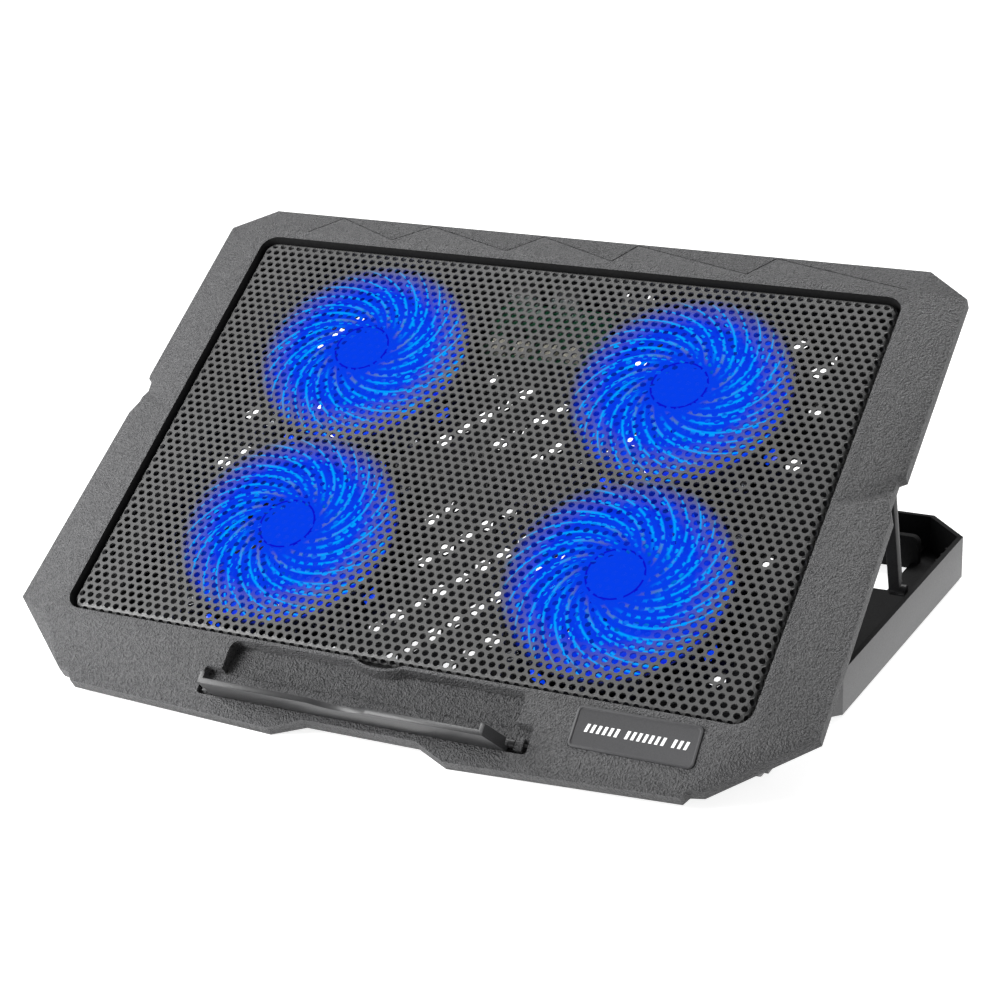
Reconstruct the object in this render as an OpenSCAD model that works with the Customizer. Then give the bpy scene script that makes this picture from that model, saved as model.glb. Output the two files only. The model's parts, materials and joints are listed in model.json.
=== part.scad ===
// Laptop cooling pad on a folding stand, shown raised to its working tilt.
// The deck is drawn flat in its own frame (x to the right, y to the back, z out of the deck, z = 0 at
// the underside of its rim) and on_deck() tilts it about the hinge. The stand is drawn from the hinge.

/* [Deck] */
// Width of the deck behind its side notches
deck_w = 380; // [376:1:384]
// Depth of the deck, front edge to back edge
deck_d = 283; // [280:1:286]
// Height of the outer edge of the deck's rim
rim_h = 5.5; // [5:0.5:6]
// Height of the plateau round the mesh
plateau_h = 11; // [10.5:0.5:12]
// Thickness of the moulded plastic
wall = 2; // [1.8:0.1:2.4]
// Tilt of the deck above the table
tilt = 33; // [30:1:34]

/* [Mesh panel] */
// Width of the opening that the mesh sits in
opening_w = 329; // [326:1:332]
// Thickness of the mesh sheet
mesh_t = 1.2; // [1:0.1:1.5]
// Hole pitch of the mesh
mesh_pitch = 13.5; // [13:0.5:16]
// Radius of a mesh hole
mesh_hole_r = 4.9; // [4:0.1:5.2]

/* [Fans] */
// Radius of the rotor at its blade tips
rotor_r = 48.5; // [46:0.5:49]
// Number of blades on a rotor
blades = 12; // [9:1:13]
// Angle that a blade sweeps from its root to its tip
blade_sweep = 80; // [40:5:80]
// Radius of the rotor's hub
hub_r = 14; // [13:0.5:16]
// Radius of a fan's shaft
shaft_r = 1.5; // [1:0.1:2]

/* [Stand] */
// Height of the stand's side wall
stand_h = 22; // [21:0.5:22]
// Half width of the stand over its side walls, at the back
stand_half = 178; // [178:0.5:180]
// Height of the deck's hinge above the table
hinge_z = 10; // [10:0.5:11]
// Height of the rubber feet
foot_h = 1.5; // [1:0.1:2]

/* [Struts and stop] */
// Length of a strut between its two pivots, seen from the side
strut_len = 122.35; // [122:0.05:123]
// Lean of a strut from the table
strut_lean = 80.6; // [80:0.1:81.5]
// Width of the laptop stop at its pivots
stop_w = 140; // [136:1:141]
// Height of the laptop stop above its pivots
stop_len = 22.4; // [20.4:0.1:22.4]
// Angle of the raised laptop stop from the deck
stop_angle = 106; // [92:1:108]

/* [Hidden] */

// Colours
casing_grey = [0.24, 0.24, 0.25];
mesh_grey = [0.30, 0.30, 0.31];
stand_grey = [0.36, 0.36, 0.37];
dark = [0.12, 0.12, 0.13];
steel = [0.72, 0.73, 0.75];
fan_blue = [0.05, 0.15, 0.95, 0.7];
fan_clear = [0.10, 0.20, 0.55, 0.6];

// Places of the four fans on the deck: rear left, rear right, front left, front right
fan_at = [[-84, 200], [77.5, 200], [-77, 96], [84, 96]];

// Hinge of the deck on the stand, in the deck's own frame
hinge_v = 32;
hinge_w = -12.5;
hinge_r = 2.5;
pin_end = 162;
boss_r = 6;
running = 0.05;

// Rim outline: half the deck, front to back
front_lip = 5;
flare = 2;
rim_half = [
  [27, 1.5], [42, -front_lip], [145.5, -0.5], [147.5, 3], [153.5, 4], [deck_w / 2 + flare, 37],
  [deck_w / 2, 147], [deck_w / 2 - 3, 154], [deck_w / 2 - 3, 167], [deck_w / 2, 169],
  [deck_w / 2, deck_d - 14], [deck_w / 2 - 20.5, deck_d]
];
// The same without the notches, for the sloped top
rim_full_half = [
  [42, -front_lip], [145.5, -0.5], [153.5, 4], [deck_w / 2 + flare, 37], [deck_w / 2, deck_d - 14],
  [deck_w / 2 - 20.5, deck_d]
];
plateau_front = 27;
plateau_back = 266;
plateau_half = opening_w / 2 + 6;
opening_front = 33.3;
opening_back = 261.5;
corner_r = 8;
ledge = 6;
ledge_z = 3;
mesh_top = plateau_h - 1.5;
pocket_inset = 2.6;
flange_gap = 0.15;
flange_t = 3;

// Tub of the bottom shell
shell_w = -13;
tub_half = 148;
tub_front = 20;
tub_back = 262;
tub_back_half = 138;

// Fans, heights in the deck's frame
floor_w = shell_w + wall;
frame_inner = rotor_r + 1.4;
frame_outer = rotor_r + 3.3;
frame_top = 4;
hub_top = 4.5;
ear_at = frame_outer + 2.7;

// Laptop stop, a little left of the middle
stop_x = -2.5;
stop_v = 8.9;
stop_w_axis = 6.2;
stop_t = 2.4;
stop_lift = 1.6;
stop_knuckle = 1.9;
stop_pin_r = 0.9;
recess_half = 71;
recess_back = 31.5;
recess_floor = 4.5;
trough_half = 79;
trough_front = 4.4;
ear_half = 73;
// The wall that bulges into the recess, and the finger pocket behind it
bulge_r = 25;
bulge_v = 53.5;
bulge_t = 1.4;

// Struts
strut_v = 262;
strut_w = -6;
strut_half = 2.8;
strut_top_x = 149;
strut_foot_x = 168;
strut_t = 5;
strut_pin_r = 2;
lug_end = strut_top_x - 3.5;

// Highest point of the stop's front face, which is the object's foremost point
stop_tip = [stop_v + stop_len * cos(stop_angle) - (stop_lift + stop_t) * sin(stop_angle),
            stop_w_axis + stop_len * sin(stop_angle) + (stop_lift + stop_t) * cos(stop_angle)];
front_y = (stop_tip[0] - hinge_v) * cos(tilt) - (stop_tip[1] - hinge_w) * sin(tilt);
stand_back = 261.5;
hinge_y = -(stand_back + front_y) / 2;

// Stand, measured from the hinge
arm_in = 152;
arm_out = 166;
stand_t = 2.5;
window_half = 141;
window_back = 241;

module on_deck() {
  translate([0, hinge_y, hinge_z]) rotate([tilt, 0, 0]) translate([0, -hinge_v, -hinge_w]) children();
}

module on_stand() {
  translate([0, hinge_y, 0]) children();
}

module both_sides() {
  children();
  mirror([1, 0, 0]) children();
}

// A closed outline from its right half
module full_outline(half) {
  left = [for (i = [len(half) - 1:-1:0]) [-half[i][0], half[i][1]]];
  polygon(concat(half, left));
}

module rounded_box(size, r) {
  translate([r, 0, 0]) cube([size[0] - 2 * r, size[1], size[2]]);
  translate([0, r, 0]) cube([size[0], size[1] - 2 * r, size[2]]);
  for (x = [r, size[0] - r], y = [r, size[1] - r])
    translate([x, y, 0]) cylinder(r = r, h = size[2], $fn = 32);
}

// A bar along x, with its axis at (y, z)
module x_bar(r, x0, x1, y, z, facets = 40) {
  translate([x0, y, z]) rotate([0, 90, 0]) cylinder(r = r, h = x1 - x0, $fn = facets);
}

// ---------------------------------------------------------------- top frame

// The deck's form: an upright rim under a top that slopes up to the plateau. The sloped solid is a
// little wider than the outline that cuts it, so that the two share no face.
module deck_form(inset, drop, base) {
  spare = 0.5;
  intersection() {
    translate([0, 0, base]) linear_extrude(plateau_h + 2) offset(delta = -inset) full_outline(rim_half);
    hull() {
      translate([0, 0, base - 1]) linear_extrude(rim_h + 1 - drop - base) offset(delta = spare - inset)
        full_outline(rim_full_half);
      translate([-plateau_half + inset / 2, plateau_front + inset / 2, 0])
        cube([2 * plateau_half - inset, plateau_back - plateau_front - inset, plateau_h - drop]);
    }
  }
}

module opening_cut(shrink, z0, z1) {
  translate([-opening_w / 2 + shrink, opening_front + shrink, z0])
    rounded_box([opening_w - 2 * shrink, opening_back - opening_front - 2 * shrink, z1 - z0], corner_r);
}

// Recess that the folded stop lies in. Its trough has an ear at each end for the stop's pins, and its
// back wall bulges forward round a finger pocket that is open to the mesh.
module stop_recess() {
  top = plateau_h + 1 - recess_floor;
  difference() {
    translate([-trough_half, trough_front, recess_floor - 0.5])
      rounded_box([2 * trough_half, 13, top + 0.5], 2);
    both_sides() translate([ear_half, stop_v - 3, 0]) cube([3.5, 6, stop_w_axis + 1.6]);
  }
  difference() {
    translate([-recess_half, 10, recess_floor]) rounded_box([2 * recess_half, recess_back - 10, top], 4);
    translate([0, bulge_v, 0]) cylinder(r = bulge_r, h = 20, $fn = 96);
  }
  intersection() {
    translate([0, bulge_v, recess_floor]) cylinder(r = bulge_r - bulge_t, h = top, $fn = 96);
    translate([-20, 20, 0]) cube([40, opening_front + 1 - 20, 20]);
  }
}

// One straight groove on the sloped rear band, from the plateau side to the edge side
module groove(x0, y0, x1, y1) {
  slope = atan((plateau_h - rim_h) / (deck_d - plateau_back));
  reach = norm([x1 - x0, (y1 - y0) / cos(slope)]);
  turn = atan2((y1 - y0) / cos(slope), x1 - x0);
  translate([0, plateau_back, plateau_h]) rotate([-slope, 0, 0])
    translate([x0, (y0 - plateau_back) / cos(slope), -0.5]) rotate([0, 0, turn])
      translate([0, -0.35, 0]) cube([reach, 0.7, 2]);
}

// A dent that runs out from the plateau to each side notch, deeper towards the edge
module side_dent() {
  start = [plateau_half - 4.5, 147];
  end = [deck_w / 2, 164];
  along = end - start;
  fall = atan((plateau_h - rim_h + 1.6) / norm(along));
  translate([start[0], start[1], plateau_h]) rotate([0, fall, atan2(along[1], along[0])])
    rotate([90, 0, 90]) linear_extrude(norm(along) + 8) polygon([[0, 0], [8, 4], [-14, 4]]);
}

zig = [[-143, 267], [-131, 282], [-96, 267], [-81, 282], [-34, 267], [-21, 282], [21, 267], [28, 282],
       [88, 267], [97, 282], [164, 267]];
screw_at = [[173, 62], [173, 118], [173, 190], [173, 245], [120, 271.5], [60, 271.5]];

// What stands on the bottom shell's flange, inside the deck's form
module above_flange() {
  intersection() {
    deck_form(0.8, 0.8, flange_t + flange_gap);
    union() children();
  }
}

module top_frame() {
  color(casing_grey) on_deck() difference() {
    union() {
      difference() {
        deck_form(0, 0, 0);
        deck_form(pocket_inset, wall + 0.4, -1);
      }
      // walls round the opening with the mesh's ledge, the stop's tray and the screw bosses
      above_flange() {
        opening_cut(-wall, 0, 20);
        translate([stop_x - trough_half - 5, -10, 0]) cube([2 * trough_half + 10, 44.5, 20]);
        for (p = screw_at) both_sides() translate([p[0], p[1], 0]) cylinder(r = 3.2, h = 20, $fn = 32);
      }
    }
    opening_cut(0, ledge_z + 2, 20);
    opening_cut(ledge, -2, 20);
    translate([stop_x, 0, 0]) {
      stop_recess();
      both_sides() x_bar(stop_pin_r, ear_half - 1, trough_half + 3, stop_v, stop_w_axis);
    }
    for (p = screw_at) both_sides() translate([p[0], p[1], -1]) cylinder(r = 1.25, h = 8, $fn = 24);
    badge_seat() translate([-badge_w / 2 - 0.15, -badge_d / 2 - 0.15, -0.9])
      rounded_box([badge_w + 0.3, badge_d + 0.3, 5], 2.5);
    for (i = [0:len(zig) - 2]) groove(zig[i][0], zig[i][1], zig[i + 1][0], zig[i + 1][1]);
    both_sides() side_dent();
  }
}

// ---------------------------------------------------------------- badge

badge_w = 55;
badge_d = 18.5;
badge_x = 120;
badge_v = 20.5;

// The slope under the badge
module badge_seat() {
  edge_v = -1.7;
  slope = atan((plateau_h - rim_h) / (plateau_front - edge_v));
  translate([badge_x, badge_v, rim_h + (badge_v - edge_v) * tan(slope)]) rotate([slope, 0, 0]) children();
}

module badge() {
  color(dark) on_deck() badge_seat() translate([-badge_w / 2, -badge_d / 2, -0.9]) difference() {
    rounded_box([badge_w, badge_d, 1.5], 2.5);
    translate([1.2, 1.2, 1.2]) rounded_box([badge_w - 2.4, badge_d - 2.4, 1], 1.6);
  }
}

// ---------------------------------------------------------------- mesh panel

module mesh_panel() {
  gap = 1.8;
  w = opening_w - 2 * gap;
  d = opening_back - opening_front - 2 * gap;
  rows = floor((d - 16) / (mesh_pitch * sin(60)));
  cols = floor((w - 16) / mesh_pitch);
  color(mesh_grey) on_deck() translate([-w / 2, opening_front + gap, 0]) difference() {
    translate([0, 0, ledge_z + 2]) rounded_box([w, d, mesh_top - ledge_z - 2], corner_r - gap);
    translate([mesh_t, mesh_t, ledge_z])
      rounded_box([w - 2 * mesh_t, d - 2 * mesh_t, mesh_top - mesh_t - ledge_z], corner_r - gap - mesh_t);
    for (j = [0:rows], i = [0:cols - (j % 2)])
      translate([w / 2 + (i - cols / 2 + (j % 2) / 2) * mesh_pitch,
                 d / 2 + (j - rows / 2) * mesh_pitch * sin(60), 0])
        cylinder(r = mesh_hole_r, h = 20, $fn = 6);
  }
}

// ---------------------------------------------------------------- bottom shell

// The tub in plan, and cut to its side profile with a sloped front
module tub(inset, top) {
  half = tub_half - inset;
  back_half = tub_back_half - inset;
  intersection() {
    translate([0, 0, shell_w - 1]) linear_extrude(top - shell_w + 1) full_outline([
      [half, tub_front + inset], [half, 200], [back_half, tub_back - inset]
    ]);
    rotate([90, 0, 90]) translate([0, 0, -200]) linear_extrude(400) polygon([
      [tub_front + inset, 20], [tub_front + inset, -1], [tub_front + 11 + inset / 2, shell_w + inset],
      [tub_back - inset, shell_w + inset], [tub_back - inset, 20]
    ]);
  }
}

// Vents lie on a lattice that runs across the deck's corners
vent_a = [7.3, 8.1];
vent_b = [13.3, -14.3];
vent_r = 4.2;

function vent_clear(p) =
  abs(p[0]) < 140 && p[1] > 44 && p[1] < 250
  && !(abs(p[0]) < 44 && p[1] > 208)
  && min([for (c = fan_at) abs(norm(p - c) - frame_outer + 1)]) > vent_r + 1.5
  && min([for (c = fan_at) norm(p - c)]) > 21
  && min([for (e = ears()) norm(p - e)]) > vent_r + 4.5;

// Screw ears of the fans: each fan has three, clear of the next fan
function ears() = [
  for (c = fan_at, a = [45, 135, 225, 315]) if (ear_free(c, a)) c + ear_at * [cos(a), sin(a)]
];
function ear_free(c, a) = !(a == 45 && c[0] > 0 && c[1] > 150) && !(a == 135 && c[0] < 0 && c[1] > 150);

module bottom_shell() {
  color(dark) on_deck() difference() {
    union() {
      translate([0, 0, 0]) linear_extrude(flange_t) offset(delta = -pocket_inset - flange_gap)
        full_outline(rim_half);
      tub(0, 1);
      both_sides() x_bar(boss_r, 141, 151, hinge_v, hinge_w);
      both_sides() hull() {
        x_bar(4.5, tub_back_half - 3, lug_end, strut_v - 1, strut_w, 32);
        translate([tub_back_half - 3, strut_v - 9, -2]) cube([lug_end - tub_back_half + 3, 14, 2]);
      }
    }
    tub(wall, 20);
    both_sides() x_bar(hinge_r + running, 139, 152, hinge_v, hinge_w);
    both_sides() x_bar(strut_pin_r, tub_back_half - 5, 150, strut_v, strut_w);
    for (i = [-22:22], j = [-14:16]) {
      p = [i * vent_a[0] + j * vent_b[0], 148 + i * vent_a[1] + j * vent_b[1]];
      if (vent_clear(p)) translate([p[0], p[1], shell_w - 1]) rotate([0, 0, 48])
        cylinder(r = vent_r, h = 4, $fn = 6);
    }
    for (e = ears()) translate([e[0], e[1], shell_w - 1]) cylinder(r = 1.3, h = 5, $fn = 24);
    for (p = screw_at) both_sides() translate([p[0], p[1], -1]) {
      cylinder(r = 1.7, h = 6, $fn = 24);
      cylinder(r = 3, h = 2.8, $fn = 24);
    }
    for (x = [-30, -8]) translate([x, tub_back - 4, floor_w + 2.4]) cube([14.6, 8, 6.8]);
    translate([25, tub_back - 4, floor_w + 1]) cube([16, 8, 10]);
  }
}

module shell_screws() {
  color(steel) on_deck() for (p = screw_at) both_sides() translate([p[0], p[1], 0]) difference() {
    union() {
      translate([0, 0, 0.3]) cylinder(r = 2.8, h = 1.5, $fn = 32);
      cylinder(r = 1.2, h = 6.5, $fn = 24);
    }
    translate([-2, -0.4, -1]) cube([4, 0.8, 1.8]);
    translate([-0.4, -2, -1]) cube([0.8, 4, 1.8]);
  }
}

// ---------------------------------------------------------------- fans

module at_fan(k) {
  on_deck() translate([fan_at[k][0], fan_at[k][1], 0]) children();
}

module fan_frame(k) {
  color(fan_clear) at_fan(k) difference() {
    union() {
      difference() {
        translate([0, 0, floor_w]) cylinder(r = frame_outer, h = frame_top - floor_w, $fn = 96);
        translate([0, 0, floor_w - 1]) cylinder(r = frame_inner, h = 30, $fn = 96);
      }
      translate([0, 0, floor_w]) cylinder(r = 16, h = 1.6, $fn = 64);
      for (a = [20, 110, 200, 290]) rotate([0, 0, a]) translate([15, -2, floor_w])
        cube([frame_inner - 14, 4, 1.6]);
      for (a = [45, 135, 225, 315]) if (ear_free(fan_at[k], a)) rotate([0, 0, a]) {
        translate([ear_at, 0, floor_w]) cylinder(r = 4, h = 3, $fn = 32);
        translate([frame_outer - 1, -4, floor_w]) cube([3.7, 8, 3]);
      }
    }
    for (a = [45, 135, 225, 315]) if (ear_free(fan_at[k], a)) rotate([0, 0, a])
      translate([ear_at, 0, floor_w - 1]) cylinder(r = 1.5, h = 6, $fn = 24);
  }
}

// Coil, pole plates and bearing tube, standing on the fan frame's centre plate
module fan_stator(k) {
  color([0.55, 0.30, 0.12]) at_fan(k) difference() {
    union() {
      translate([0, 0, floor_w + 1.6]) cylinder(r = 13, h = 1.2, $fn = 48);
      translate([0, 0, floor_w + 2.8]) cylinder(r = 4, h = 9, $fn = 48);
      for (a = [0:60:300]) rotate([0, 0, a]) {
        translate([3, -1.5, floor_w + 5]) cube([6.5, 3, 5]);
        translate([4.2, -2.2, floor_w + 4.5]) cube([4, 4.4, 6]);
        translate([8.5, -3.4, floor_w + 5]) cube([1.6, 6.8, 5]);
      }
    }
    translate([0, 0, floor_w + 1]) cylinder(r = shaft_r + running, h = 20, $fn = 40);
  }
}

module fan_shaft(k) {
  color(steel) at_fan(k) translate([0, 0, floor_w + 2])
    cylinder(r = shaft_r, h = hub_top - 1.5 - floor_w - 2, $fn = 40);
}

stations = 7;
root_r = hub_r - 0.6;
chord = 26;
blade_low = -5;
blade_high = 3;
blade_t = 1.1;

// A corner of the blade's section: side is -1 trailing or 1 leading, lift 0 below or 1 above
function blade_point(s, side, lift) =
  let (r = root_r + (rotor_r - root_r) * s,
       half = chord / 2 * (1 - 0.15 * s),
       a = blade_sweep * pow(s, 0.9) + side * half,
       rise = (blade_high - blade_low - blade_t) * (1 - 0.35 * s))
  [r * cos(a), r * sin(a), (blade_high + blade_low - blade_t) / 2 + side * rise / 2 + lift * blade_t];

function quad(a, b, c, d) = [[a, b, c], [a, c, d]];

module blade() {
  points = [for (i = [0:stations]) for (c = [[-1, 0], [1, 0], [1, 1], [-1, 1]])
    blade_point(i / stations, c[0], c[1])];
  sides = [for (i = [0:stations - 1], c = [0:3])
    each quad(4 * i + c, 4 * i + 4 + c, 4 * i + 4 + (c + 1) % 4, 4 * i + (c + 1) % 4)];
  last = 4 * stations;
  polyhedron(points, concat(quad(0, 1, 2, 3), quad(last + 3, last + 2, last + 1, last), sides));
}

module fan_rotor(k) {
  color(fan_blue) at_fan(k) difference() {
    union() {
      translate([0, 0, blade_low]) cylinder(r = hub_r, h = hub_top - blade_low, $fn = 72);
      for (i = [0:blades - 1]) rotate([0, 0, i * 360 / blades]) blade();
    }
    difference() {
      translate([0, 0, blade_low - 1]) cylinder(r = hub_r - 2, h = hub_top - blade_low - 1, $fn = 72);
      translate([0, 0, 1.5]) cylinder(r = 3.5, h = 20, $fn = 40);
    }
    translate([0, 0, blade_low - 2]) cylinder(r = shaft_r, h = hub_top - 1.5 - blade_low + 2, $fn = 40);
    translate([0, 0, hub_top - 0.3]) difference() {
      cylinder(r = 9, h = 1, $fn = 64);
      translate([0, 0, -1]) cylinder(r = 8.6, h = 3, $fn = 64);
    }
  }
}

// Four light-emitting diodes inside each fan frame, on small boards
module fan_leds() {
  for (k = [0:3]) at_fan(k) for (a = [65, 155, 245, 335]) rotate([0, 0, a])
    translate([frame_outer + 0.05, -3.5, -7]) {
      color("white") translate([1.2, 1, 1]) cube([1.4, 5, 3]);
      color("green") cube([1.2, 7, 5]);
    }
}

module fan_screws() {
  color(steel) on_deck() for (e = ears()) translate([e[0], e[1], 0]) difference() {
    union() {
      translate([0, 0, floor_w + 3]) cylinder(r = 2.5, h = 1.6, $fn = 32);
      translate([0, 0, shell_w + 0.4]) cylinder(r = 1.25, h = wall + 3, $fn = 24);
    }
    translate([-2, -0.4, floor_w + 3.8]) cube([4, 0.8, 2]);
    translate([-0.4, -2, floor_w + 3.8]) cube([0.8, 4, 2]);
  }
}

// ---------------------------------------------------------------- electronics

board_x = -34;
board_y = 217;
socket_v = tub_back - 11.6;
board_size = [59, socket_v - board_y, 1.6];
board_w = floor_w + 2;

module control_board() {
  color("darkgreen") on_deck() {
    translate([board_x, board_y, board_w]) cube(board_size);
    for (x = [4, 55], y = [4, 29]) translate([board_x + x, board_y + y, floor_w])
      cylinder(r = 2, h = 2, $fn = 24);
  }
}

module board_chips() {
  color(dark) on_deck() translate([board_x, board_y, board_w + board_size[2]]) {
    translate([24, 12, 0]) cube([9, 7, 1.4]);
    translate([42, 11, 0]) cube([5, 5, 1.2]);
    translate([10, 14, 0]) cylinder(r = 2.6, h = 5, $fn = 32);
    translate([17, 14, 0]) cylinder(r = 2.6, h = 5, $fn = 32);
    for (x = [22, 27, 32, 37]) translate([x, 22, 0]) cube([2.4, 1.2, 0.8]);
  }
}

// Two upright sockets at the back edge: metal shells with tongues
module usb_ports() {
  color(steel) on_deck() for (x = [-30, -8]) translate([x + 0.2, socket_v, board_w + 1.6]) {
    difference() {
      translate([0, 0, -0.4]) cube([14.2, 11.2, 6]);
      translate([0.6, 1.5, 0.2]) cube([13, 12, 4.8]);
    }
    translate([1.6, 1, 2.8]) cube([11, 9, 1.6]);
  }
}

dial_x = 33;
dial_w = floor_w + 6;
dial_v = tub_back - 2.6;

module speed_control() {
  color("silver") on_deck() translate([dial_x, dial_v, dial_w]) difference() {
    translate([-5, -8.5, -4]) cube([10, 5.5, 8]);
    rotate([90, 0, 0]) translate([0, 0, -1]) cylinder(r = 1.5 + running, h = 8, $fn = 32);
  }
}

// Knurled wheel that stands out of the back wall
module speed_dial() {
  color(dark) on_deck() translate([dial_x, dial_v, dial_w]) rotate([-90, 0, 0]) difference() {
    union() {
      translate([0, 0, -1.5]) cylinder(r = 4.4, h = 5.5, $fn = 48);
      translate([0, 0, -6]) cylinder(r = 1.5, h = 5, $fn = 32);
    }
    for (a = [0:20:340]) rotate([0, 0, a]) translate([4.4, -0.3, 0]) cube([2, 0.6, 6]);
    translate([-0.4, 1, 3.4]) cube([0.8, 3, 2]);
  }
}

plug_x = [-24, -12, 2, 14];

module lead_connectors() {
  color("ivory") on_deck() for (x = plug_x)
    translate([x - 3.5, board_y + 1, board_w + 1.6]) cube([7, 6, 5]);
}

// Four flat two-core leads on the shell's floor, from the fans to the board's front edge
lead_half = 1.1;
lead_t = 1.1;
lead_paths = [
  [[-30.8, 200], [-27, 205], [-24, 214], [-24, 216.9]],
  [[-23.8, 96], [-14, 108], [-12, 160], [-12, 216.9]],
  [[30.8, 96], [14, 108], [2, 160], [2, 216.9]],
  [[24.2, 200], [19, 205], [14, 214], [14, 216.9]]
];

module fan_leads() {
  color("black") on_deck() translate([0, 0, floor_w + 0.1]) linear_extrude(lead_t) for (path = lead_paths) {
    for (i = [0:len(path) - 2]) {
      step = path[i + 1] - path[i];
      translate(path[i]) rotate(atan2(step[1], step[0])) translate([0, -lead_half])
        square([norm(step), 2 * lead_half]);
    }
    for (i = [1:len(path) - 2]) translate(path[i]) circle(r = lead_half + 0.1, $fn = 24);
  }
}

// ---------------------------------------------------------------- struts

// The strut hangs from the deck and leans forward to its foot in the rack's first notch
pivot_y = (strut_v - hinge_v) * cos(tilt) - (strut_w - hinge_w) * sin(tilt);
pivot_z = (strut_v - hinge_v) * sin(tilt) + (strut_w - hinge_w) * cos(tilt) + hinge_z;
foot_y = pivot_y - strut_len * cos(strut_lean);
foot_z = pivot_z - strut_len * sin(strut_lean);

module strut_solid() {
  difference() {
    union() {
      hull() {
        x_bar(strut_half, strut_top_x - 2.5, strut_top_x + strut_t - 2.5, pivot_y, pivot_z, 32);
        x_bar(strut_half, strut_foot_x - 3.5, strut_foot_x + strut_t - 3.5, foot_y, foot_z, 32);
      }
      x_bar(strut_half, strut_foot_x - 3, strut_foot_x + 4, foot_y, foot_z);
      x_bar(strut_half + 1.2, strut_top_x - 3, strut_top_x + 3, pivot_y, pivot_z);
    }
    x_bar(strut_pin_r + running, strut_top_x - 5, strut_top_x + 8, pivot_y, pivot_z);
  }
}

module strut_right() {
  color(dark) on_stand() strut_solid();
}

module strut_left() {
  color(dark) on_stand() mirror([1, 0, 0]) strut_solid();
}

module strut_pins() {
  color(steel) on_deck() both_sides() {
    x_bar(strut_pin_r, tub_back_half - 1, strut_top_x + 4.5, strut_v, strut_w);
    x_bar(3.4, strut_top_x + 4, strut_top_x + 5.2, strut_v, strut_w);
  }
}

// ---------------------------------------------------------------- laptop stop

// Outline of the plate: it narrows towards its free edge
module stop_plate() {
  half = stop_w / 2;
  full_outline([[half, 0], [half, 5], [half - 2.5, stop_len]]);
}

module laptop_stop() {
  half = stop_w / 2;
  rim = 2;
  color(stand_grey) on_deck() translate([stop_x, stop_v, stop_w_axis]) rotate([stop_angle, 0, 0])
  difference() {
    union() {
      // the plate with a shallow finger notch
      translate([0, 0, stop_lift]) linear_extrude(stop_t) difference() {
        stop_plate();
        translate([0, stop_len + 22]) circle(r = 26, $fn = 96);
      }
      // a rim along both ends, and a stiffening rib
      translate([0, 0, stop_lift - 2.8]) linear_extrude(3) difference() {
        stop_plate();
        full_outline([[half - rim, -1], [half - rim, 5], [half - rim - 3, stop_len + 2]]);
        translate([-half - 1, -1]) square([2 * half + 2, 5.5]);
      }
      translate([-half + 4, 8, stop_lift - 1]) cube([2 * half - 8, 1.6, 1.1]);
      both_sides() x_bar(stop_knuckle, half - 12, ear_half - 0.3, 0, 0);
      both_sides() translate([half - 12, 0, 0]) cube([12, 2.2, stop_lift + 0.4]);
    }
    both_sides() x_bar(stop_pin_r + running, half - 8, ear_half + 1, 0, 0);
  }
}

module stop_pins() {
  color(steel) on_deck() translate([stop_x, 0, 0]) both_sides()
    x_bar(stop_pin_r, stop_w / 2 - 7.5, trough_half + 2.8, stop_v, stop_w_axis);
}

// ---------------------------------------------------------------- stand

stand_half_outline = [
  [arm_out, 61], [stand_half - 2.4, 71], [stand_half, stand_back - 22.5], [stand_half - 21, stand_back]
];
rack_from = 110;
rack_to = 230;
rack_pitch = 8;
rack_top = 19;
rack_in = strut_foot_x + 4.4;
floor_t = 2.5;
floor_back = 204;
hole_w = 11;

module stand_walls() {
  difference() {
    translate([0, 0, foot_h]) linear_extrude(stand_h - foot_h) full_outline(stand_half_outline);
    translate([0, 0, foot_h - 1]) linear_extrude(stand_h + 2) offset(delta = -stand_t)
      full_outline(stand_half_outline);
    translate([-arm_in - 1, 55, -1]) cube([2 * arm_in + 2, 15, 40]);
    // clearance for plugs at the back
    translate([-48, stand_back - 10, 11]) cube([96, 20, 40]);
  }
}

// Floor inside the walls, with the open window, a hole at each rear corner and a slot on each side
// that the strut's foot swings through
module stand_floor() {
  translate([0, 0, foot_h]) linear_extrude(floor_t) difference() {
    offset(delta = -1) full_outline(stand_half_outline);
    translate([-window_half, 50]) square([2 * window_half, window_back - 50]);
    for (side = [1, -1]) mirror([side < 0 ? 1 : 0, 0]) {
      translate([window_half - 1, floor_back]) square([hole_w + 1, window_back - floor_back]);
      translate([strut_foot_x - 4.5, 102]) square([rack_in - strut_foot_x + 4.5, 62]);
    }
  }
  translate([-154, window_back + 2, foot_h]) cube([308, stand_back - window_back - 3, 5]);
}

// A toothed rail inside each side wall takes the foot of the strut
module rack() {
  difference() {
    translate([rack_in, rack_from, foot_h])
      cube([stand_half - 2.2 - rack_in, rack_to - rack_from, rack_top - foot_h]);
    for (y = [foot_y - 7 * rack_pitch:rack_pitch:foot_y + 7 * rack_pitch])
      x_bar(strut_half + 0.3, rack_in - 1, rack_in + 2.2, y, foot_z);
  }
}

module arm() {
  difference() {
    union() {
      x_bar(6, arm_in, arm_out, 0, hinge_z, 64);
      translate([arm_in, 0, hinge_z - 6]) cube([arm_out - arm_in, 63, 12]);
      translate([arm_in, 7, foot_h]) cube([arm_out - arm_in, 56, 17]);
    }
    x_bar(hinge_r, arm_in - 2, pin_end + 1, 0, hinge_z);
  }
}

// Upright plate with round shoulders in front of each rear corner
module corner_pad() {
  translate([0, window_back - 1, foot_h]) {
    translate([128, 0, 0]) cube([28, 4, 12.5]);
    translate([132, 0, 0]) cube([20, 4, 16.5]);
    for (x = [132, 152]) translate([x, 4, 12.5]) rotate([90, 0, 0]) cylinder(r = 4, h = 4, $fn = 32);
  }
}

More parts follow.
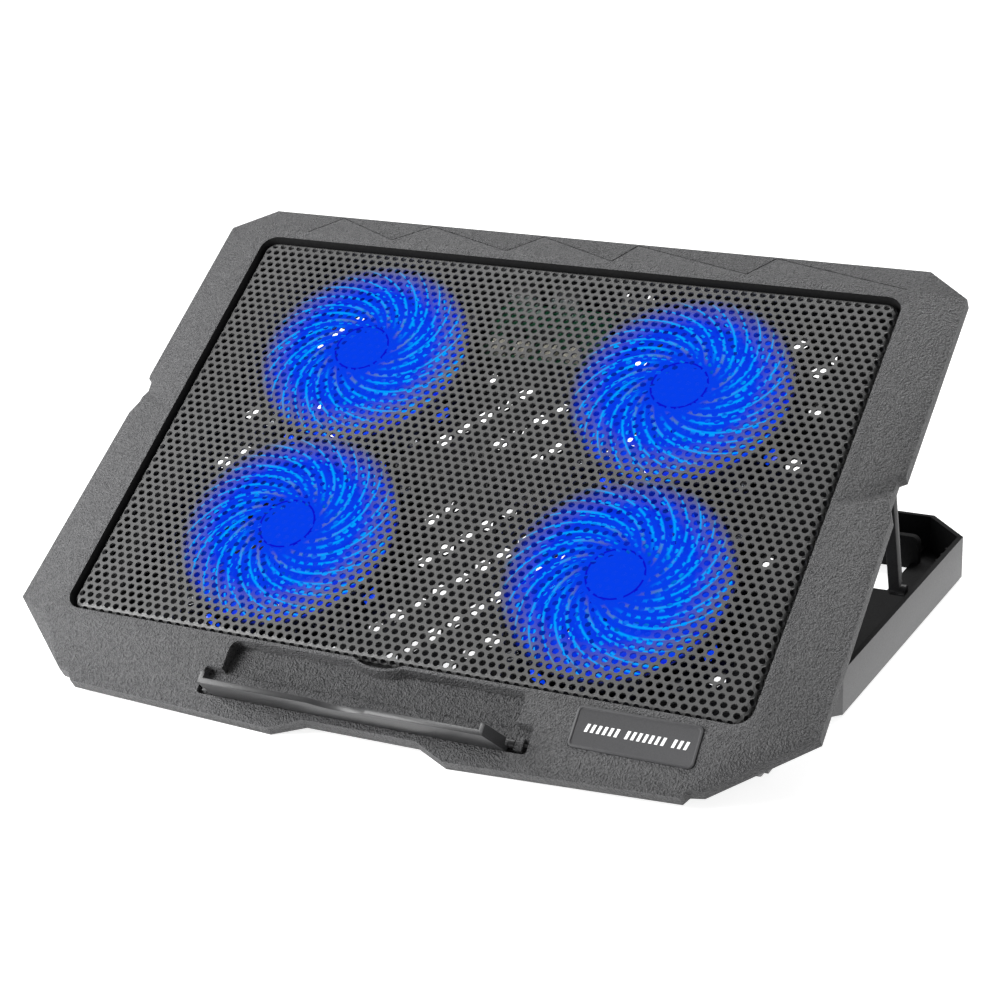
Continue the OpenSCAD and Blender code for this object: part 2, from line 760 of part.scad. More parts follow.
module stand_frame() {
  color(stand_grey) on_stand() difference() {
    union() {
      stand_walls();
      stand_floor();
      both_sides() {
        rack();
        arm();
        corner_pad();
      }
      translate([-arm_in - 1, 9, foot_h]) cube([2 * arm_in + 2, 18, 6.5]);
    }
    translate([-140, 13, foot_h - 1]) cube([280, 10, 5]);
  }
}

module stand_feet() {
  color("black") on_stand() both_sides() {
    translate([159, 14, 0]) cylinder(r = 6, h = foot_h, $fn = 48);
    translate([146, stand_back - 11, 0]) cylinder(r = 6, h = foot_h, $fn = 48);
  }
}

module hinge_pins() {
  color(steel) on_stand() both_sides() x_bar(hinge_r, 142, pin_end, 0, hinge_z);
}

stand_frame();
stand_feet();
hinge_pins();
top_frame();
mesh_panel();
bottom_shell();
badge();
fan_frame(0);  // fan_frame_rear_left
fan_frame(1);  // fan_frame_rear_right
fan_frame(2);  // fan_frame_front_left
fan_frame(3);  // fan_frame_front_right
fan_stator(0);  // fan_stator_rear_left
fan_stator(1);  // fan_stator_rear_right
fan_stator(2);  // fan_stator_front_left
fan_stator(3);  // fan_stator_front_right
fan_rotor(0);  // fan_rotor_rear_left
fan_rotor(1);  // fan_rotor_rear_right
fan_rotor(2);  // fan_rotor_front_left
fan_rotor(3);  // fan_rotor_front_right
fan_shaft(0);  // fan_shaft_rear_left
fan_shaft(1);  // fan_shaft_rear_right
fan_shaft(2);  // fan_shaft_front_left
fan_shaft(3);  // fan_shaft_front_right
fan_leds();
fan_leads();
lead_connectors();
fan_screws();
shell_screws();
control_board();
board_chips();
usb_ports();
speed_control();
speed_dial();
strut_left();
strut_right();
strut_pins();
laptop_stop();
stop_pins();
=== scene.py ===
"""Laptop cooling pad: looks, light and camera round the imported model."""
import json
import math

import bmesh
import bpy
from mathutils import Matrix, Vector
from mathutils.bvhtree import BVHTree


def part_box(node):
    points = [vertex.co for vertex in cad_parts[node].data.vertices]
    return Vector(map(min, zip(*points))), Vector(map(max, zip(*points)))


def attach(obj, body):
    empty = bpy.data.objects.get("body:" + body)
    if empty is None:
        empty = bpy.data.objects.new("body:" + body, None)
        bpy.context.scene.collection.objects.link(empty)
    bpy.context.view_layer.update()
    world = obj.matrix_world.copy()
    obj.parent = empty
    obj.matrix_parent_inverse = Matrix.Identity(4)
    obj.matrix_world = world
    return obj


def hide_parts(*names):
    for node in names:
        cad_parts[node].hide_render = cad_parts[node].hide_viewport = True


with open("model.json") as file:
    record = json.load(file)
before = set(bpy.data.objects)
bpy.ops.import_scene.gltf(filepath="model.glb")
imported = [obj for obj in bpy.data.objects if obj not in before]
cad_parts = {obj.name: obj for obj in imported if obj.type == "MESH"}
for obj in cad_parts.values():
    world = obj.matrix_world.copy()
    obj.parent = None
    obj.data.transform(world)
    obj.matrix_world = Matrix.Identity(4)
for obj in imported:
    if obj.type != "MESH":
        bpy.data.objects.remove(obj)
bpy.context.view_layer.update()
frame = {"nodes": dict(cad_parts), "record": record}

MM = 0.001
JOINTS = {joint["name"]: joint for joint in frame["record"]["behaviour"]["joints"]}
BODY_OF = {
    node: body
    for body, nodes in frame["record"]["behaviour"]["bodies"].items()
    for node in nodes
}
FANS = ("rear_left", "rear_right", "front_left", "front_right")

# ---------------------------------------------------------------- the deck's own frame

# Sizes here repeat the CAD's, in millimetres
HINGE_IN_DECK = Vector((0, 32, -12.5)) * MM
HINGE = Vector(JOINTS["deck_tilt"]["pos_m"])
DECK_NORMAL = Vector(JOINTS["fan_spin_rear_left"]["axis"])
TILT = math.atan2(-DECK_NORMAL.y, DECK_NORMAL.z)
DECK = (
    Matrix.Translation(HINGE)
    @ Matrix.Rotation(TILT, 4, "X")
    @ Matrix.Translation(-HINGE_IN_DECK)
)
OPENING_FRONT = 33.3
OPENING_BACK = 261.5
PANEL_GAP = 1.8
EDGE_SPARE = 0.3
FAN_CENTRES = {
    name: DECK.inverted() @ Vector(JOINTS["fan_spin_" + name]["pos_m"]) for name in FANS
}

# ---------------------------------------------------------------- materials

# How far the bump of a pebble reaches, as a multiple of the grain's stated depth
PEBBLE_RELIEF = 4


class Nodes:
    """A short way to build a material's nodes."""

    def __init__(self, name):
        self.material = bpy.data.materials.new(name)
        self.material.use_nodes = True
        self.tree = self.material.node_tree
        self.shader = self.tree.nodes["Principled BSDF"]
        self.output = self.tree.nodes["Material Output"]
        self.coords = self.tree.nodes.new("ShaderNodeTexCoord").outputs["Object"]

    def add(self, kind, inputs=(), **settings):
        node = self.tree.nodes.new(kind)
        for key, value in settings.items():
            setattr(node, key, value)
        for key, value in dict(inputs).items():
            if isinstance(value, bpy.types.NodeSocket):
                self.tree.links.new(value, node.inputs[key])
            else:
                node.inputs[key].default_value = value
        return node

    def link(self, output, socket):
        self.tree.links.new(output, socket)

    def base(self, **values):
        for key, value in values.items():
            self.shader.inputs[key.replace("_", " ")].default_value = value

    def math(self, operation, a, b=0.0):
        return self.add("ShaderNodeMath", {0: a, 1: b}, operation=operation).outputs[0]

    def vector_math(self, operation, a, b=(0, 0, 0)):
        return self.add("ShaderNodeVectorMath", {0: a, 1: b}, operation=operation).outputs

    def noise(self, scale, detail=3.0, rough=0.5, vector=None):
        inputs = {"Scale": scale, "Detail": detail, "Roughness": rough}
        inputs["Vector"] = vector or self.coords
        return self.add("ShaderNodeTexNoise", inputs).outputs["Fac"]

    def ramp(self, value, low, high, start=0.0, stop=1.0):
        """The value's way from start to stop, held at its ends, turned into low to high."""
        inputs = {"From Min": start, "From Max": stop, "To Min": low, "To Max": high}
        inputs["Value"] = value
        return self.add("ShaderNodeMapRange", inputs).outputs["Result"]

    def tint(self, factor, low, high):
        node = self.tree.nodes.new("ShaderNodeMix")
        node.data_type = "RGBA"
        self.link(factor, node.inputs["Factor"])
        for colour, socket in ((low, node.inputs[6]), (high, node.inputs[7])):
            if isinstance(colour, bpy.types.NodeSocket):
                self.link(colour, socket)
            else:
                socket.default_value = (*colour, 1)
        return node.outputs[2]

    def bump(self, height, distance):
        inputs = {"Height": height, "Distance": distance}
        return self.add("ShaderNodeBump", inputs).outputs["Normal"]


def moulded(name, dark, light, grain_mm, depth_mm, rough, coat=0.0, shine=0.3):
    """Moulded plastic with a pebbled grain, like leather, with uneven gloss: its pits are painted
    darker as shade.
    """
    n = Nodes(name)
    warp = n.noise(260, 2)
    cells = n.add(
        "ShaderNodeTexVoronoi",
        {"Vector": n.coords, "Scale": 1 / (grain_mm * MM), "Randomness": 1.0},
        feature="SMOOTH_F1",
    ).outputs["Distance"]
    fine = n.noise(1 / (0.35 * grain_mm * MM), 3, 0.6)
    wrinkle = n.noise(1 / (2.2 * grain_mm * MM), 3, 0.6)
    height = n.math("ADD", n.math("MULTIPLY", cells, -0.9), n.math("MULTIPLY", fine, 0.35))
    height = n.math("ADD", height, n.math("MULTIPLY", wrinkle, 0.8))
    n.link(n.bump(height, depth_mm * MM * PEBBLE_RELIEF), n.shader.inputs["Normal"])
    # Painted shade: the colour darkens with the grain's depth, and the warp adds a random tone
    pebble = n.ramp(n.math("ADD", height, n.math("MULTIPLY", warp, 0.2)), 0, 1, 0.0, 0.55)
    n.link(n.tint(pebble, dark, light), n.shader.inputs["Base Color"])
    n.link(n.ramp(fine, rough[0], rough[1], 0.3, 0.7), n.shader.inputs["Roughness"])
    n.base(Coat_Weight=coat, Specular_IOR_Level=shine)
    return n.material


def brushed(name, colour, rough=0.35):
    """Turned or drawn metal with fine scratches."""
    n = Nodes(name)
    long = n.add("ShaderNodeMapping", {"Vector": n.coords, "Scale": (1, 30, 30)}).outputs[0]
    scratch = n.noise(400, 4, 0.7, long)
    n.link(n.ramp(scratch, rough * 0.7, rough * 1.4, 0.3, 0.7), n.shader.inputs["Roughness"])
    dim = tuple(c * 0.8 for c in colour)
    n.link(n.tint(scratch, dim, colour), n.shader.inputs["Base Color"])
    n.link(n.bump(scratch, 0.00002), n.shader.inputs["Normal"])
    n.base(Metallic=1.0)
    return n.material


def glowing(name, colour, strength):
    """Tinted plastic lit from within, a little uneven."""
    n = Nodes(name)
    cloud = n.noise(90, 3)
    deep = tuple(0.6 * c for c in colour)
    n.link(n.tint(cloud, deep, colour), n.shader.inputs["Emission Color"])
    n.base(Base_Color=(*colour, 1), Roughness=0.25, Emission_Strength=strength)
    n.link(n.bump(cloud, 0.0001), n.shader.inputs["Normal"])
    return n.material


FAN_BLUE = (0.002, 0.050, 0.80)
FAN_VIOLET = (0.004, 0.0, 0.55)
FAN_CYAN = (0.0, 0.36, 1.0)
HUB_R = 14 * MM
ROTOR_R = 48.5 * MM
RING_R = 13 * MM
SWEEP = math.radians(92)
STREAKS = 24
BLADES = 12
# Radii between which each part of a fan's light comes in or fades out
GLOW_FADE = (ROTOR_R - 14 * MM, ROTOR_R + 3 * MM)
STREAK_START = (HUB_R + 3 * MM, HUB_R + 12 * MM)
STREAK_END = (ROTOR_R - 4 * MM, ROTOR_R + 2 * MM)
ROOT_START = (HUB_R + 1 * MM, HUB_R + 4 * MM)
ROOT_END = (HUB_R + 7 * MM, HUB_R + 17 * MM)
SHADE_START = (HUB_R + 12 * MM, ROTOR_R - 6 * MM)
# Height of the bottom shell's inner floor in the deck's frame
SHELL_FLOOR = -11 * MM


def deck_point(n):
    """The shaded point in the deck's own frame."""
    back = DECK.inverted()
    inputs = {"Vector": n.coords, "Location": back.to_translation(), "Rotation": back.to_euler()}
    return n.add("ShaderNodeMapping", inputs).outputs[0]


def fan_light(n, at, centre, ring_shade):
    """Light of one fan at a point, centred on its axis: how far it reaches, the dark gaps between
    the blades' roots, its colour, and its bright streaks."""
    local = n.vector_math("SUBTRACT", at, centre)[0]
    axes = n.add("ShaderNodeSeparateXYZ", {"Vector": local}).outputs
    x, y = axes["X"], axes["Y"]
    r = n.math("SQRT", n.math("ADD", n.math("MULTIPLY", x, x), n.math("MULTIPLY", y, y)))
    along = n.math("POWER", n.ramp(r, 0, 1, HUB_R, ROTOR_R + 4 * MM), 0.85)
    turn = n.math("SUBTRACT", n.math("ARCTAN2", y, x), n.math("MULTIPLY", along, SWEEP))

    def lines(count, phase, width, fade):
        """Spiral lines, bright on their middle and fading over the given widths."""
        spin = n.math("ADD", n.math("MULTIPLY", turn, count / math.tau), phase)
        spacing = n.math("MULTIPLY", r, math.tau / count)
        apart = n.math("MULTIPLY", n.math("PINGPONG", spin, 0.5), spacing)
        return n.ramp(apart, 1, 0, width * MM, fade * MM)

    reach = n.ramp(r, 1, 0, *GLOW_FADE)
    rim = n.ramp(r, 1, 0, *STREAK_END)
    bright = n.ramp(r, 0, 1, *STREAK_START)
    streak = n.math("MULTIPLY", lines(STREAKS, 0.5, 0.3, 1.5), bright)
    near_hub = n.math("MULTIPLY", n.ramp(r, 0, 1, *ROOT_START), n.ramp(r, 1, 0, *ROOT_END))
    gap = n.math("MULTIPLY", lines(BLADES, 0.25, 0.4, 1.6), near_hub)
    outer = n.ramp(r, 0, 1, *SHADE_START)
    shade = n.math("MULTIPLY", lines(BLADES, 0.25, 2.0, 7.0), outer)
    from_ring = n.math("ABSOLUTE", n.math("SUBTRACT", r, RING_R))
    ring = n.ramp(from_ring, 1, 0, 0.2 * MM, 0.7 * MM)
    body = n.tint(n.math("MULTIPLY", shade, 0.75), FAN_BLUE, FAN_VIOLET)
    body = n.tint(n.math("MULTIPLY", ring, ring_shade), body, FAN_VIOLET)
    colour = n.tint(streak, body, FAN_CYAN)
    streak = n.math("MULTIPLY", streak, rim)
    return {"reach": reach, "gap": gap, "colour": colour, "streak": streak}


def rotor_material(fan):
    """Blue plastic lit from within, with bright swept streaks along the blades."""
    n = Nodes("rotor_" + fan)
    light = fan_light(n, deck_point(n), FAN_CENTRES[fan], 0.0)
    n.link(light["colour"], n.shader.inputs["Emission Color"])
    n.link(n.ramp(light["gap"], 1.0, 0.6), n.shader.inputs["Emission Strength"])
    n.base(Base_Color=(0, 0, 0.02, 1), Roughness=0.5, Specular_IOR_Level=0.05)
    return n.material


def flood(n, at, fan, strength):
    """Blue light that a fan throws round itself: full under its rotor, fading just outside it."""
    local = n.vector_math("SUBTRACT", at, FAN_CENTRES[fan])[0]
    flat = n.vector_math("MULTIPLY", local, (1, 1, 0))[0]
    r = n.vector_math("LENGTH", flat)["Value"]
    return n.ramp(r, strength, 0.0, ROTOR_R, ROTOR_R + 3 * MM)


def lit_shell():
    """Black casing plastic whose floor catches blue light under each fan."""
    n = Nodes("lit_shell")
    at = deck_point(n)
    height = n.add("ShaderNodeSeparateXYZ", {"Vector": at}).outputs["Z"]
    floor_side = n.ramp(height, 0, 1, SHELL_FLOOR - 0.8 * MM, SHELL_FLOOR - 0.3 * MM)
    grain = n.noise(1 / (0.7 * MM), 3, 0.6)
    light = 0.0
    for fan in FANS:
        light = n.math("MAXIMUM", light, flood(n, at, fan, 0.45))
    n.link(n.math("MULTIPLY", light, floor_side), n.shader.inputs["Emission Strength"])
    colour = n.tint(grain, (0.008, 0.008, 0.009), (0.012, 0.012, 0.013))
    n.link(colour, n.shader.inputs["Base Color"])
    n.link(n.ramp(grain, 0.5, 0.65, 0.3, 0.7), n.shader.inputs["Roughness"])
    n.link(n.bump(grain, 0.00008), n.shader.inputs["Normal"])
    n.base(Emission_Color=(*FAN_BLUE, 1), Specular_IOR_Level=0.15)
    return n.material


def lit_frame(fan):
    """Dark plastic of a fan's frame, flooded with the rotor's blue light inside its bore."""
    n = Nodes("fan_frame_" + fan)
    cloud = n.noise(120, 3)
    n.link(flood(n, deck_point(n), fan, 0.7), n.shader.inputs["Emission Strength"])
    n.link(n.tint(cloud, FAN_VIOLET, FAN_BLUE), n.shader.inputs["Emission Color"])
    n.link(n.bump(cloud, 0.0001), n.shader.inputs["Normal"])
    n.base(Base_Color=(0.012, 0.014, 0.04, 1), Roughness=0.35, Specular_IOR_Level=0.1)
    return n.material


# Moulded plastics and rubber: dark and light colour, grain width and depth in millimetres, and the
# range of roughness, then any coat or shine of their own
PLASTICS = {
    "casing": (
        (0.038, 0.038, 0.040), (0.090, 0.090, 0.092),
        0.75, 0.36, (0.40, 0.58), {"shine": 0.35},
    ),
    "stand": (
        (0.135, 0.135, 0.136), (0.160, 0.160, 0.162),
        0.6, 0.015, (0.48, 0.6), {},
    ),
    "stop": (
        (0.022, 0.022, 0.023), (0.029, 0.029, 0.030),
        0.5, 0.008, (0.36, 0.46), {},
    ),
    "shell": (
        (0.008, 0.008, 0.009), (0.012, 0.012, 0.013),
        0.7, 0.02, (0.5, 0.65), {"shine": 0.15},
    ),
    "strut": (
        (0.016, 0.016, 0.017), (0.024, 0.024, 0.025),
        0.5, 0.008, (0.35, 0.45), {"shine": 0.25},
    ),
    "badge": (
        (0.035, 0.035, 0.037), (0.043, 0.043, 0.045),
        0.4, 0.005, (0.45, 0.55), {},
    ),
    "rubber": (
        (0.012, 0.012, 0.012), (0.02, 0.02, 0.02),
        0.5, 0.02, (0.7, 0.85), {},
    ),
    "wire": (
        (0.012, 0.012, 0.013), (0.02, 0.02, 0.02),
        0.6, 0.01, (0.4, 0.5), {},
    ),
    "ivory": (
        (0.55, 0.52, 0.42), (0.65, 0.62, 0.52),
        0.6, 0.005, (0.4, 0.5), {},
    ),
    "board": (
        (0.010, 0.075, 0.035), (0.015, 0.10, 0.045),
        0.8, 0.01, (0.25, 0.4), {"coat": 0.4},
    ),
    "chip": (
        (0.012, 0.012, 0.013), (0.018, 0.018, 0.02),
        0.3, 0.005, (0.5, 0.6), {},
    ),
    # inner is near-black painted shade for the stand's inside and the opening round the panel
    "inner": (
        (0.007, 0.007, 0.0072), (0.010, 0.010, 0.0103),
        0.8, 0.01, (0.6, 0.75), {"shine": 0.06},
    ),
    "print": (
        (0.80, 0.80, 0.80), (0.86, 0.86, 0.86),
        0.3, 0.003, (0.5, 0.6), {},
    ),
}
MATERIALS = {
    name: moulded(name, *look, **extra) for name, (*look, extra) in PLASTICS.items()
}
MATERIALS["lit_shell"] = lit_shell()
MATERIALS["steel"] = brushed("steel", (0.62, 0.63, 0.65))
MATERIALS["copper"] = brushed("copper", (0.75, 0.34, 0.14), 0.3)
MATERIALS["led"] = glowing("led", (0.0, 0.05, 0.8), 1.0)
for fan in FANS:
    MATERIALS["rotor_" + fan] = rotor_material(fan)
    MATERIALS["frame_" + fan] = lit_frame(fan)

# Which material, and how wide a soft edge in millimetres, each CAD node gets
LOOKS = {
    "top_frame": ("casing", 0.7), "bottom_shell": ("lit_shell", 0.35), "badge": ("badge", 0.25),
    "stand_frame": ("stand", 0.35), "stand_feet": ("rubber", 0.3), "hinge_pins": ("steel", 0.2),
    "strut_left": ("strut", 0.4), "strut_right": ("strut", 0.4), "strut_pins": ("steel", 0.2),
    "laptop_stop": ("stop", 0.35), "stop_pins": ("shell", 0.1), "shell_screws": ("steel", 0.1),
    "fan_screws": ("steel", 0.1), "fan_leds": ("led", 0.1), "fan_leads": ("wire", 0.3),
    "lead_connectors": ("ivory", 0.2), "control_board": ("board", 0.1),
    "board_chips": ("chip", 0.1),
    "usb_ports": ("steel", 0.1), "speed_control": ("steel", 0.1), "speed_dial": ("shell", 0.1),
}
for fan in FANS:
    LOOKS["fan_frame_" + fan] = ("frame_" + fan, 0.2)
    LOOKS["fan_stator_" + fan] = ("copper", 0.1)
    LOOKS["fan_shaft_" + fan] = ("steel", 0.1)
    LOOKS["fan_rotor_" + fan] = ("rotor_" + fan, 0.15)


def soften(node, material, width_mm):
    """A copy of a CAD node with welded faces and rounded edges, shown in its place."""
    mesh = frame["nodes"][node].data.copy()
    b = bmesh.new()
    b.from_mesh(mesh)
    bmesh.ops.remove_doubles(b, verts=b.verts, dist=0.002 * MM)
    bmesh.ops.dissolve_limit(b, angle_limit=math.radians(0.6), verts=b.verts, edges=b.edges)
    for face in b.faces:
        face.smooth = True
    b.to_mesh(mesh)
    b.free()
    mesh.materials.clear()
    mesh.materials.append(material)
    piece = bpy.data.objects.new(node + "_soft", mesh)
    bpy.context.scene.collection.objects.link(piece)
    bevel = piece.modifiers.new("bevel", "BEVEL")
    bevel.width = width_mm * MM
    bevel.segments = 2
    bevel.limit_method = "ANGLE"
    bevel.angle_limit = math.radians(32)
    bevel.use_clamp_overlap = True
    bevel.harden_normals = True
    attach(piece, BODY_OF[node])
    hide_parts(node)
    return piece


def paint_opening_shade(piece, material):
    """Paint the walls and ledge of the opening round the panel darker: painted shade in the gap."""
    piece.data.materials.append(material)
    to_deck = DECK.inverted()
    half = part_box("mesh_panel")[1].x + (PANEL_GAP + EDGE_SPARE) * MM
    front, back = (OPENING_FRONT - EDGE_SPARE) * MM, (OPENING_BACK + EDGE_SPARE) * MM
    points = [to_deck @ v.co for v in piece.data.vertices]
    inside = [abs(p.x) < half and front < p.y < back for p in points]
    for face in piece.data.polygons:
        if all(inside[i] for i in face.vertices):
            face.material_index = 1


# The level part of a normal above which its face counts as a wall, and how far in metres to look
# for another wall in front of it
UPRIGHT = 0.5
RAY_REACH = 0.5


def paint_inside_shade(piece, material):
    """Paint the faces that look into the piece, up or down, darker: painted shade inside the stand.
    """
    piece.data.materials.append(material)
    low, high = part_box("stand_frame")
    middle = (Vector(low) + Vector(high)) / 2
    points = [v.co for v in piece.data.vertices]
    tree = BVHTree.FromPolygons(points, [f.vertices for f in piece.data.polygons])
    for face in piece.data.polygons:
        start = face.center + face.normal * 0.05 * MM
        flat = Vector((face.normal.x, face.normal.y, 0))
        upright = flat.length > UPRIGHT
        inward = flat.dot(middle - face.center) > 0
        if not upright or inward or tree.ray_cast(start, flat, RAY_REACH)[0] is not None:
            face.material_index = 1


# Height of the badge's face above its middle, its slope, and the bars printed on it, in millimetres
BADGE_FACE = 0.45
BADGE_SLOPE = math.atan(5.5 / 28.7)
BAR_GROUPS = (6, 7, 3)
BAR_START = -22.0
BAR_PITCH = 2.6
BAR_GAP = 0.8 * BAR_PITCH
BAR_W = 1.3
BAR_H = 3.6
BAR_LEAN = 0.9
BAR_T = 0.12


def badge_motif():
    """Three groups of short printed bars on the badge."""
    low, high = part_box("badge")
    middle = DECK.inverted() @ ((Vector(low) + Vector(high)) / 2)
    face = DECK @ Matrix.Translation(middle) @ Matrix.Rotation(BADGE_SLOPE, 4, "X")
    points, faces = [], []
    x = BAR_START
    for count in BAR_GROUPS:
        for _ in range(count):
            first = len(points)
            for z in (BADGE_FACE, BADGE_FACE + BAR_T):
                for dx, dy in ((0, -1), (BAR_W, -1), (BAR_W + BAR_LEAN, 1), (BAR_LEAN, 1)):
                    points.append(face @ (Vector((x + dx, dy * BAR_H / 2, z)) * MM))
            faces.append([first + 4 + k for k in range(4)])
            faces.append([first + 3 - k for k in range(4)])
            for k in range(4):
                m = (k + 1) % 4
                faces.append([first + k, first + m, first + 4 + m, first + 4 + k])
            x += BAR_PITCH
        x += BAR_GAP
    mesh = bpy.data.meshes.new("badge_motif")
    mesh.from_pydata(points, [], faces)
    mesh.materials.append(MATERIALS["print"])
    piece = bpy.data.objects.new("badge_motif", mesh)
    bpy.context.scene.collection.objects.link(piece)
    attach(piece, "deck")


for node, (look, width) in LOOKS.items():
    piece = soften(node, MATERIALS[look], width)
    # The stand's inside and the opening round the panel get painted shade
    if node == "stand_frame":
        paint_inside_shade(piece, MATERIALS["inner"])
    if node == "top_frame":
        paint_opening_shade(piece, MATERIALS["inner"])
badge_motif()

# ---------------------------------------------------------------- perforated panel

PANEL_TOP = 9.5
PANEL_FRONT = OPENING_FRONT + PANEL_GAP
PANEL_BACK = OPENING_BACK - PANEL_GAP
PANEL_PITCH = 4.5
PANEL_HOLE_R = 1.62
PANEL_BEND_R = 3.0
PANEL_CORNER_R = 6.4
PANEL_T = 1.0
HOLE_SIDES = 8
HEX = 6


def angular(count, offset):
    """Evenly spaced directions, from an offset in degrees."""
    return [math.radians(offset + 360 * i / count) for i in range(count)]


def ring_triangles(outer, inner):
    """Triangles between two rings of directions about one centre, as (ring, index) corners."""
    rings = (outer, inner)
    steps = sorted((a, ring, i) for ring in (0, 1) for i, a in enumerate(rings[ring]))
    last = [max((s for s in steps if s[1] == ring), key=lambda s: s[0])[2] for ring in (0, 1)]
    triangles = []
    for _, ring, i in steps:
        before = last[ring]
        other = (1 - ring, last[1 - ring])
        pair = ((ring, before), (ring, i)) if ring == 0 else ((ring, i), (ring, before))
        triangles.append((*pair, other))
        last[ring] = i
    return triangles


def panel_material():
    """Painted steel sheet, lit blue over each fan."""
    n = Nodes("mesh_paint")
    speck = n.noise(900, 3, 0.6)
    cloud = n.noise(14, 2)
    at = deck_point(n)
    paint = n.tint(cloud, (0.048, 0.048, 0.048), (0.070, 0.070, 0.070))
    glow, shine = (0.0, 0.0, 0.0), 0.0
    for fan in FANS:
        light = fan_light(n, at, FAN_CENTRES[fan], 0.9)
        part = n.math("MULTIPLY", light["reach"], n.ramp(light["gap"], 1.0, 0.55))
        part = n.math("MAXIMUM", part, light["streak"])
        glow = n.tint(part, glow, light["colour"])
        shine = n.math("MAXIMUM", part, shine)
    n.link(n.tint(shine, paint, (0.0, 0.0, 0.02)), n.shader.inputs["Base Color"])
    n.link(glow, n.shader.inputs["Emission Color"])
    n.link(n.ramp(shine, 0.35, 0.0), n.shader.inputs["Specular IOR Level"])
    n.link(n.ramp(speck, 0.36, 0.52, 0.3, 0.7), n.shader.inputs["Roughness"])
    n.link(n.bump(speck, 0.00003), n.shader.inputs["Normal"])
    n.base(Metallic=0.0, Emission_Strength=1.0)
    return n.material


def perforated_panel():
    """The sheet with its full pattern of holes, its edges bent down all round."""
    half_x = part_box("mesh_panel")[1].x / MM
    half_y = (PANEL_BACK - PANEL_FRONT) / 2
    centre_y = (PANEL_BACK + PANEL_FRONT) / 2
    core_x, core_y = half_x - PANEL_CORNER_R, half_y - PANEL_CORNER_R
    flat = PANEL_CORNER_R - PANEL_BEND_R
    reach = flat + PANEL_BEND_R * math.pi / 2 + 0.2

    def place(x, y, depth):
        qx = math.copysign(max(abs(x) - core_x, 0), x)
        qy = math.copysign(max(abs(y) - core_y, 0), y)
        d = math.hypot(qx, qy)
        if d <= flat:
            return (x, y + centre_y, PANEL_TOP - depth)
        turn = min((d - flat) / PANEL_BEND_R, math.pi / 2)
        rest = max(d - flat - PANEL_BEND_R * math.pi / 2, 0)
        r = PANEL_BEND_R - depth
        out = flat + r * math.sin(turn)
        drop = PANEL_BEND_R - r * math.cos(turn) + rest
        return (x - qx + qx / d * out, y - qy + qy / d * out + centre_y, PANEL_TOP - drop)

    outer = angular(HEX, 30)
    inner = angular(HOLE_SIDES, 22.5)
    triangles = ring_triangles(outer, inner)
    hex_r = PANEL_PITCH / math.sqrt(3)
    row_step = PANEL_PITCH * math.sqrt(3) / 2
    points, faces, shared, sides = [], [], {}, {}

    def point(x, y, depth, share):
        key = (round(x * 1000), round(y * 1000), depth)
        if share and key in shared:
            return shared[key]
        points.append(place(x, y, depth))
        if share:
            shared[key] = len(points) - 1
        return len(points) - 1

    def circle(x, y, r, directions, depth, share):
        return [point(x + r * math.cos(a), y + r * math.sin(a), depth, share) for a in directions]

    rows = int(half_y / row_step) + 4
    cols = int(half_x / PANEL_PITCH) + 4
    for j in range(-rows, rows + 1):
        for i in range(-cols, cols + 1):
            x = (i + 0.5 * (j % 2)) * PANEL_PITCH
            y = j * row_step
            if math.hypot(max(abs(x) - core_x, 0), max(abs(y) - core_y, 0)) > reach:
                continue
            rings = []
            for depth in (0, PANEL_T):
                edge = circle(x, y, hex_r, outer, depth, True)
                hole = circle(x, y, PANEL_HOLE_R, inner, depth, False)
                rings.append((edge, hole))
            for corners in triangles:
                top = [rings[0][ring][k] for ring, k in corners]
                bottom = [rings[1][ring][k] for ring, k in corners]
                faces.append(top)
                faces.append(bottom[::-1])
            for k in range(HOLE_SIDES):
                m = (k + 1) % HOLE_SIDES
                faces.append([rings[0][1][k], rings[0][1][m], rings[1][1][m], rings[1][1][k]])
            for k in range(HEX):
                m = (k + 1) % HEX
                top_edge = (rings[0][0][k], rings[0][0][m])
                quad = (*top_edge, rings[1][0][m], rings[1][0][k])
                sides.setdefault(frozenset(top_edge), []).append(quad)
    for quads in sides.values():
        if len(quads) == 1:
            a, b, c, d = quads[0]
            faces.append([b, a, d, c])
    mesh = bpy.data.meshes.new("perforated_panel")
    mesh.from_pydata([DECK @ (Vector(p) * MM) for p in points], [], faces)
    mesh.validate()
    mesh.materials.append(panel_material())
    piece = bpy.data.objects.new("perforated_panel", mesh)
    bpy.context.scene.collection.objects.link(piece)
    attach(piece, "deck")
    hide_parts("mesh_panel")
    return piece


perforated_panel()

# ---------------------------------------------------------------- camera, floor and light

CAMERA_FROM_HINGE = Vector((0.484, -0.85354, 0.4539))
CAMERA_AZIMUTH = 26.86
CAMERA_ELEVATION = 20.47
CAMERA_ROLL = -1.86
CAMERA_LENS = 90.2


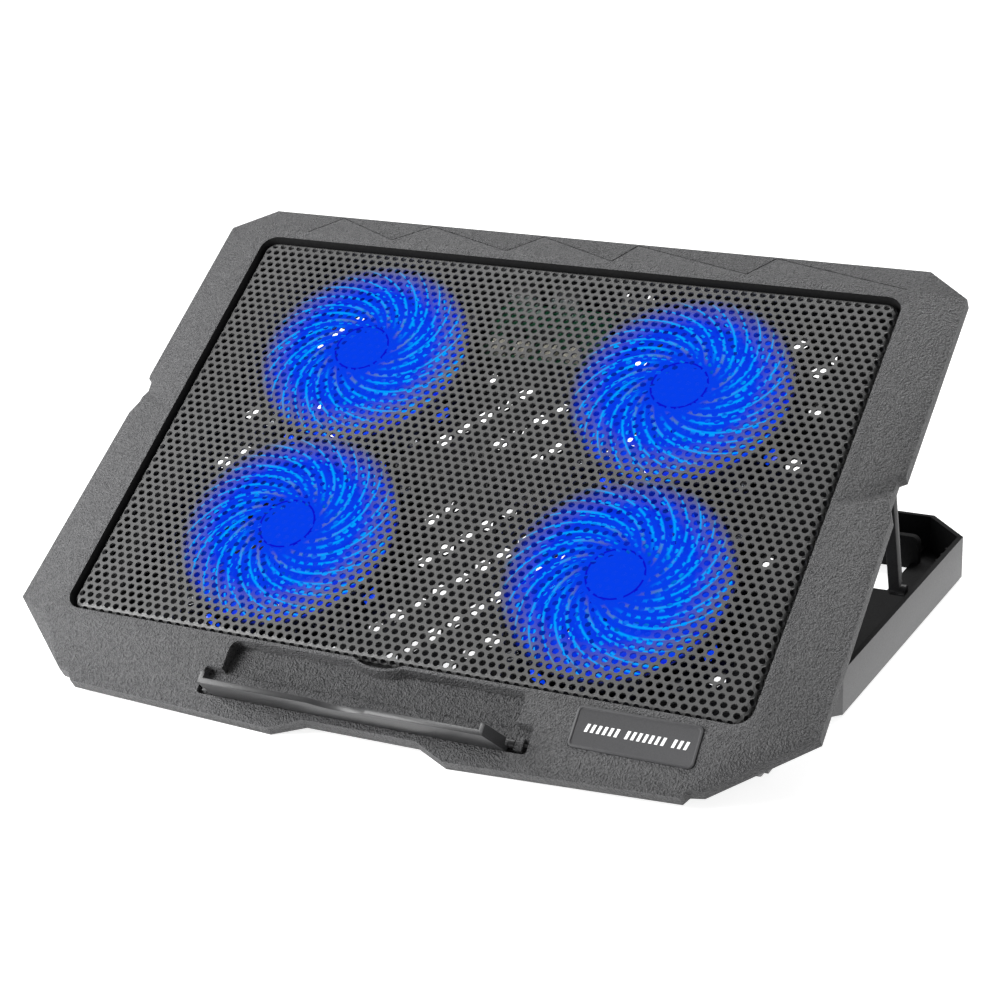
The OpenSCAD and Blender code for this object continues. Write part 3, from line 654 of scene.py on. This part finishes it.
def camera():
    data = bpy.data.cameras.new("camera")
    data.lens = CAMERA_LENS
    data.sensor_width = 36
    view = bpy.data.objects.new("camera", data)
    view.matrix_world = (
        Matrix.Translation(HINGE + CAMERA_FROM_HINGE)
        @ Matrix.Rotation(math.radians(CAMERA_AZIMUTH), 4, "Z")
        @ Matrix.Rotation(math.radians(90 - CAMERA_ELEVATION), 4, "X")
        @ Matrix.Rotation(math.radians(CAMERA_ROLL), 4, "Z")
    )
    bpy.context.scene.collection.objects.link(view)
    bpy.context.scene.camera = view


def floor():
    n = Nodes("floor")
    soft = n.noise(3, 2)
    n.link(n.tint(soft, (0.47, 0.47, 0.47), (0.49, 0.49, 0.49)), n.shader.inputs["Base Color"])
    n.base(Roughness=0.9, Emission_Color=(1, 1, 1, 1), Emission_Strength=0.85)
    mesh = bpy.data.meshes.new("floor")
    s = 12.0
    mesh.from_pydata([(-s, -s, 0), (s, -s, 0), (s, s, 0), (-s, s, 0)], [], [(0, 1, 2, 3)])
    mesh.materials.append(n.material)
    plane = bpy.data.objects.new("floor", mesh)
    bpy.context.scene.collection.objects.link(plane)


def softbox(name, at, target, size, power):
    data = bpy.data.lights.new(name, "AREA")
    data.shape = "RECTANGLE"
    data.size, data.size_y = size
    data.energy = power
    lamp = bpy.data.objects.new(name, data)
    lamp.location = at
    aim = Vector(target) - Vector(at)
    lamp.rotation_euler = aim.to_track_quat("-Z", "Y").to_euler()
    bpy.context.scene.collection.objects.link(lamp)


def sky(strength):
    world = bpy.data.worlds.new("sky")
    world.use_nodes = True
    background = world.node_tree.nodes["Background"]
    background.inputs["Color"].default_value = (1, 1, 1, 1)
    background.inputs["Strength"].default_value = strength
    bpy.context.scene.world = world


# Where each lamp stands, where it points, its two sides in metres, and its watts
SOFTBOXES = {
    "key": ((-0.50, -0.52, 0.36), (-0.15, -0.08, 0.04), (0.45, 0.45), 13),
    "fill": ((1.3, 0.45, 0.5), (0, 0, 0.08), (0.9, 0.9), 4.5),
    "back": ((-0.2, 0.9, 1.3), (0, 0, 0.1), (1.4, 0.6), 24),
}

bpy.context.scene.view_settings.view_transform = "Standard"
camera()
floor()
sky(0.34)
for name, lamp in SOFTBOXES.items():
    softbox(name, *lamp)
